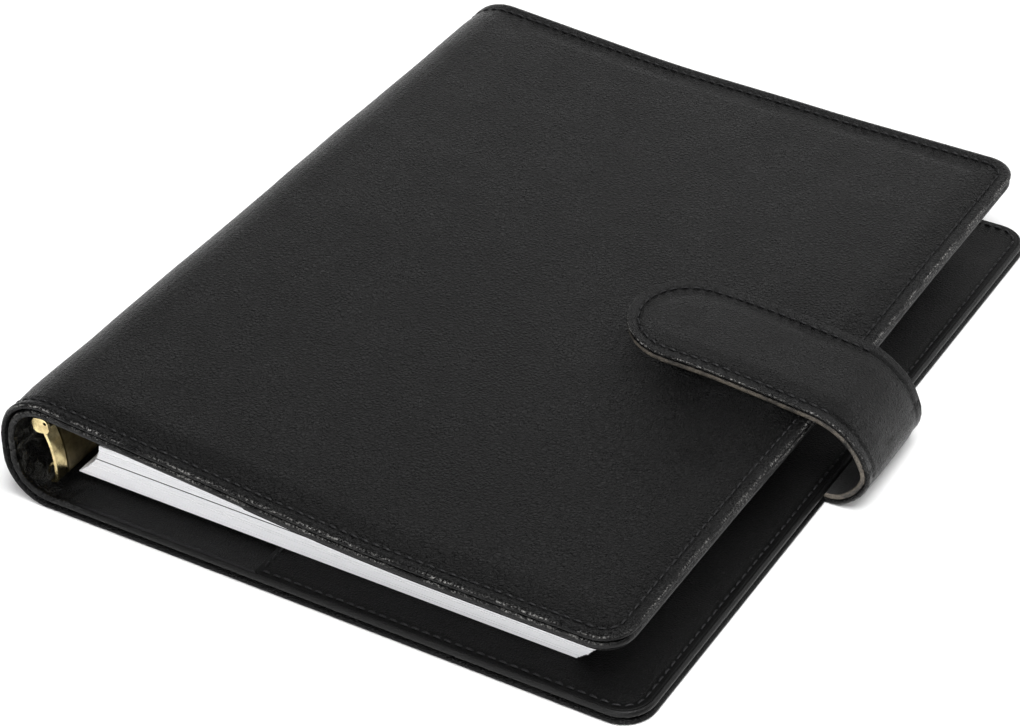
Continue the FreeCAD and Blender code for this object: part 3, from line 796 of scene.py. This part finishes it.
def pocket(name, side, path, place, node, depths, near_y, far_y):
    """A pocket panel whose free edge is turned over, and which is sewn down along the rest."""
    low, high = corners(node)
    outline = Outline(path.where(low.x), path.where(high.x), near_y, far_y, POCKET_CORNER,
                      core=9.0, step=3.0, start_radius=1.5)
    top, bottom = (WALL + depth for depth in depths)

    def lower(t, s, y):
        return bottom + 0.25 * smooth(2, 9, t) + 0.15 * rough(s, y, 20, 31.0) * smooth(1, 6, t)

    def inside_out(s, y, depth):
        return place(s, y, bottom - depth)

    panel = piece(name, slab(place, outline, flat(top), lower, 0.35, 0.0), POCKET, "pocket_leather")
    route = (inside_out, outline.loop(1.6), -0.05, True)
    threads = seam(f"{name}_stitches", [route], THREAD, "pocket_leather")
    for obj in (panel, threads):
        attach(obj, f"{side}_cover")
    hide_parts(node)


back_skin, back_inner = cover("back", BACK, on_back, bend_back, 3.0)
front_skin, front_inner = cover("front", FRONT, on_front, bend_front, 11.0)
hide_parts("spine_outer_leather")
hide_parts("spine_lining")

for side, path, place in (("back", BACK, on_back), ("front", FRONT, on_front)):
    pad = core(side, "foam", path, place, FOAM_DEPTHS, FOAM, "foam")
    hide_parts(f"{side}_foam_pad")
    stiff = core(side, "board", path, place, BOARD_DEPTHS, BOARD, "board")
    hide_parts(f"{side}_board")

EDGE = HALF_LENGTH - POCKET_EDGE
pocket("back_pocket", "back", BACK, on_back, "back_pocket_panel", POCKET_DEPTHS, -EDGE, EDGE)
pocket("front_pocket", "front", FRONT, on_front, "front_pocket_panel", POCKET_DEPTHS,
       -EDGE, corners("front_pocket_panel")[1].y)
pocket("front_card_flap", "front", FRONT, on_front, "front_card_pocket", FLAP_DEPTHS,
       -EDGE, corners("front_card_pocket")[1].y)


# ---- strap ----
WRAP_CENTRE = (178.0, 7.6)
WRAP_RADIUS = 19.6
WRAP_SPLIT = 20.0  # degrees, where the upper half meets the lower one
WRAP_END = 84.0
WRAP_LOW_END = 14.0
LOW_TURN_X = 193.5
ROOT_X = 187.0
LEVEL_X = 141.0
STRAP_SKIN = 1.25
STRAP_THICKNESS = 2.7
STRAP_SEAM = 3.2
FLAT_FROM_Z = 26.0
STIFFENER_INSET = 6.0


def strap_upper_line():
    x, z = WRAP_CENTRE
    wrap = arc_points(x, z, WRAP_RADIUS, WRAP_SPLIT, WRAP_END)
    end_x, end_z = wrap[-1]
    third = (end_x - LEVEL_X) / 3
    poles = [(end_x, end_z), (end_x - third, end_z + 1.35), (LEVEL_X + third, TAB_TOP), (LEVEL_X, TAB_TOP)]
    return Path(wrap + bezier_points(poles) + [(STRAP_TIP, TAB_TOP)], 1)


def strap_lower_line():
    x, z = WRAP_CENTRE
    wrap = arc_points(x, z, WRAP_RADIUS, WRAP_SPLIT, WRAP_LOW_END, 8)
    low_x, low_z = wrap[-1]
    turn = math.radians(WRAP_LOW_END)
    next_pole = (low_x + 5 * math.sin(turn), low_z - 5 * math.cos(turn))
    poles = [(low_x, low_z), next_pole, (LOW_TURN_X, 0), (ROOT_X, 0)]
    return Path(wrap + bezier_points(poles)[1:] + [(BACK_WIDTH - 1.0, 0)], -1)


STRAP_UP = strap_upper_line()
STRAP_LOW = strap_lower_line()


def on_strap(path):
    """The strap isn't quite square: its side leans along Y, and its tip stands up a little."""

    def place(s, y, depth):
        x, z, nx, nz = path.at(s)
        skew = -0.045 * y * (1 - smooth(24, 29, z)) * (1.6 * smooth(0, 14, z) - 0.6)
        lift = 1.1 * smooth(140, 112, x) if z > 25 else 0
        return to_frame(x + nx * depth + skew, y, z + nz * depth + lift)

    return place


def strap_top(path):
    """The strap's outer face, with a groove at the stitches, a dimple over the snap, and creases."""

    def depth(t, s, y):
        x, z, _, _ = path.at(s)
        groove = GROOVE * bell(t - STRAP_SEAM, 0.6)
        snap = math.hypot(x - SNAP_X, y)
        button = (0.28 * bell(snap, 5.5) - 0.42 * bell(snap, 2.2)) if z > 25 else 0
        swell = 0.5 * smooth(3.6, 9, t) * (0.5 + 0.5 * smooth(24, 28, z))
        in_wrap = smooth(8, 14, z) * (1 - smooth(25, 28, z))
        crease = 0.2 * rough(s * 1.2, y * 0.25, 2.6, 21.0) * in_wrap
        uneven = 0.12 * rough(s, y, 14, 17.0) * smooth(2, 8, t)
        return max(groove - button - swell - crease - uneven, -z)

    return depth


def strap_bend(obj):
    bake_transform(obj)


def strap_outline(path, upper, inset=0.0):
    half = STRAP_HALF - inset
    radius, core_inset = (half, half) if upper else (1.0, 8.0)
    return Outline(0, path.length - inset, -half, half, radius, core=core_inset, open_start=True, step=1.6)


def strap_half(upper):
    """The strap's leather and lining on one side of the split, and the upper half's stitches."""
    path = STRAP_UP if upper else STRAP_LOW
    part = "upper" if upper else "lower"
    place = on_strap(path)
    outline = strap_outline(path, upper)
    skin = slab(place, outline, strap_top(path), flat(STRAP_SKIN), 0.65, 0.1)
    outer = piece(f"strap_{part}_leather", skin, STRAP, "strap_leather")

    def inner(t, s, y):
        uneven = 0.1 * rough(s, y * 0.4, 4, 25.0)
        return STRAP_THICKNESS + uneven - 0.15 * bell(t - 3.0, 0.6)

    under = slab(place, strap_outline(path, upper, 0.25), flat(1.42), inner, 0.5, 0.12)
    lining = piece(f"strap_{part}_lining", under, STRAP_LINING, "lining_leather")
    pieces = [outer, lining]
    if upper:
        route = [p for p in outline.loop(STRAP_SEAM) if path.at(p[0])[1] > FLAT_FROM_Z]
        pieces.append(seam("strap_stitches", [(place, route, 0.12, False)], THREAD, "strap_leather"))
    for obj in pieces:
        strap_bend(obj)
    return outer, lining


strap_outer, strap_inner = strap_half(True)
strap_low_outer, strap_low_inner = strap_half(False)
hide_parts("strap_tab_leather", "strap_side_leather")
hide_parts("strap_tab_lining", "strap_side_lining")
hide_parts("strap_root_leather")
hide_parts("strap_root_lining")

# ---- stiffener inside the tab ----
stiffener_outline = Outline(STRAP_UP.where(174.0), STRAP_UP.length - STIFFENER_INSET,
                            STIFFENER_INSET - STRAP_HALF, STRAP_HALF - STIFFENER_INSET, 11.0,
                            core=11.0, step=3.0)
stiffener_layer = slab(on_strap(STRAP_UP), stiffener_outline, flat(1.28), flat(1.42), 0.05, 0.0)
stiffener = piece("tab_stiffener", stiffener_layer, BOARD, "board")
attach(stiffener, "strap_tab")
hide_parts("strap_stiffener")

# ---- pages ----
PAGE_LENGTH = 210.0
PAGE_WIDTH = 148.0
PAGE_LEAN = 7.7
HOLE_HALF = 2.75
HOLE_INSET = 5.5
HOLE_ROWS = (-73.0, -54.0, -35.0, 35.0, 54.0, 73.0)
STACK_LOW = corners("rear_pages")[0].z
STACK_HIGH = corners("front_pages")[1].z
PAGE_LEFT = corners("rear_pages")[0].x


def page_left(z):
    """The sheets' spine side at a height: they lean, more so low in the stack."""
    t = (z - STACK_LOW) / (STACK_HIGH - STACK_LOW)
    return PAGE_LEFT + PAGE_LEAN * (2 * t - t * t)


def sheet_block(bm, low, high, left, right, near, far):
    """A few sheets as one thin slab, with six holes."""
    loops = [[(left, near), (right, near), (right, far), (left, far)]]
    for y in HOLE_ROWS:
        turns = [2 * math.pi * k / 20 for k in range(20)]
        x = left + HOLE_INSET
        loops.append([(x + HOLE_HALF * math.cos(a), y + HOLE_HALF * math.sin(a)) for a in turns])
    edges = []
    for loop in loops:
        verts = [bm.verts.new(to_frame(x, y, low)) for x, y in loop]
        edges += [bm.edges.new((a, b)) for a, b in zip(verts, verts[1:] + verts[:1])]
    faces = bmesh.ops.triangle_fill(bm, use_beauty=True, use_dissolve=False, edges=edges)["geom"]
    faces = [face for face in faces if isinstance(face, bmesh.types.BMFace)]
    made = bmesh.ops.extrude_face_region(bm, geom=faces, use_keep_orig=True)["geom"]
    moved = [vert for vert in made if isinstance(vert, bmesh.types.BMVert)]
    bmesh.ops.translate(bm, verts=moved, vec=Vector((0, 0, (high - low) * MM)))


def page_stack(name, low, high, count):
    bm = bmesh.new()
    pitch = (high - low) / count
    for i in range(count):
        z = low + pitch * i
        left = page_left(z + pitch / 2) + random.uniform(-0.12, 0.12)
        right = left + PAGE_WIDTH + random.uniform(-0.1, 0.1)
        slip = random.uniform(-0.1, 0.1)
        gap = 0.001 + (0.02 if random.random() < 0.12 else 0)
        sheet_block(bm, z, z + pitch - gap, left, right, slip - PAGE_LENGTH / 2, slip + PAGE_LENGTH / 2)
    bmesh.ops.recalc_face_normals(bm, faces=bm.faces)
    obj = piece(name, bm, PAPER, "paper")
    for polygon in obj.data.polygons:
        polygon.use_smooth = False
    return obj


rear = corners("rear_pages")
fore = corners("front_pages")
rear_stack = page_stack("rear_page_sheets", rear[0].z, rear[1].z, 18)
front_stack = page_stack("front_page_sheets", fore[0].z, fore[1].z, 13)
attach(rear_stack, "rear_sheets")
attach(front_stack, "front_sheets")
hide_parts("rear_pages")
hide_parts("front_pages")


# ---- stage, lights and camera ----
FLOOR_SIZE = 6.0
LIGHTS = (  # name, place and target in metres, size, power
    ("top_softbox", (0.35, -0.25, 1.5), (0, 0, 0), (0.9, 0.9), 25.0),
    ("back_card", (-0.27, 0.62, 0.2), (-0.05, 0.05, 0.03), (1.1, 0.40), 1.15),
    ("right_card", (0.72, 0.95, 0.75), (0.08, 0, 0), (0.9, 0.5), 6.0),
    ("front_strip", (0.1, -0.85, 1.15), (0, 0, 0), (1.5, 0.16), 7.0),
    ("front_fill", (0.15, -1.1, 0.3), (0, 0, 0.01), (0.9, 0.35), 6.0),
)
WORLD_FADE = (0.38, 0.64)
WORLD_LEVELS = (0.28, 0.03)
CAMERA_AZIMUTH = 31.025
CAMERA_ELEVATION = 36.367
CAMERA_ROLL = -1.092
CAMERA_DISTANCE = 0.86922
CAMERA_TARGET = (84.83, -4.79, 0.0)
CAMERA_LENS = 112.57


def stage_floor():
    bm = bmesh.new()
    bmesh.ops.create_grid(bm, x_segments=2, y_segments=2, size=FLOOR_SIZE)
    mesh = bpy.data.meshes.new("floor")
    bm.to_mesh(mesh)
    bm.free()
    floor = bpy.data.objects.new("floor", mesh)
    bpy.context.scene.collection.objects.link(floor)
    n = Nodes("pale_floor")
    mottle = n.noise(400.0, 2.0)
    mesh.materials.append(n.finish(n.mix(mottle, (0.93, 0.93, 0.93), (0.95, 0.95, 0.95)), 0.9))


def area_light(name, place, target, size, power):
    data = bpy.data.lights.new(name, "AREA")
    data.shape = "RECTANGLE"
    data.size, data.size_y = size
    data.energy = power
    light = bpy.data.objects.new(name, data)
    light.location = place
    light.rotation_euler = (Vector(target) - Vector(place)).to_track_quat("-Z", "Y").to_euler()
    bpy.context.scene.collection.objects.link(light)


def surroundings():
    """A studio's walls: grey near the floor, and almost black overhead."""
    world = bpy.data.worlds.new("studio")
    bpy.context.scene.world = world
    world.use_nodes = True
    tree = world.node_tree
    background = tree.nodes["Background"]
    coordinates = tree.nodes.new("ShaderNodeTexCoord")
    height = tree.nodes.new("ShaderNodeSeparateXYZ")
    tree.links.new(coordinates.outputs["Generated"], height.inputs[0])
    ramp = tree.nodes.new("ShaderNodeMapRange")
    ramp.interpolation_type = "SMOOTHSTEP"
    ramp.inputs["From Min"].default_value, ramp.inputs["From Max"].default_value = WORLD_FADE
    ramp.inputs["To Min"].default_value, ramp.inputs["To Max"].default_value = WORLD_LEVELS
    tree.links.new(height.outputs["Z"], ramp.inputs["Value"])
    tree.links.new(ramp.outputs[0], background.inputs["Strength"])
    background.inputs["Color"].default_value = (1, 1, 1, 1)


def camera():
    azimuth, elevation, roll = (math.radians(a) for a in (CAMERA_AZIMUTH, CAMERA_ELEVATION, CAMERA_ROLL))
    back = Vector((math.sin(azimuth) * math.cos(elevation), -math.cos(azimuth) * math.cos(elevation),
                   math.sin(elevation)))
    right = Vector((math.cos(azimuth), math.sin(azimuth), 0))
    up = right.cross(-back)
    turned_right = right * math.cos(roll) + up * math.sin(roll)
    turned_up = up * math.cos(roll) - right * math.sin(roll)
    data = bpy.data.cameras.new("camera")
    data.lens = CAMERA_LENS
    data.sensor_width = 36.0
    data.clip_start, data.clip_end = 0.01, 50.0
    cam = bpy.data.objects.new("camera", data)
    bpy.context.scene.collection.objects.link(cam)
    cam.matrix_world = Matrix.Translation(to_frame(*CAMERA_TARGET) + back * CAMERA_DISTANCE) @ Matrix(
        (turned_right, turned_up, back)
    ).transposed().to_4x4()
    bpy.context.scene.camera = cam


stage_floor()
surroundings()
for light in LIGHTS:
    area_light(*light)
camera()
bpy.context.scene.view_settings.view_transform = "Standard"
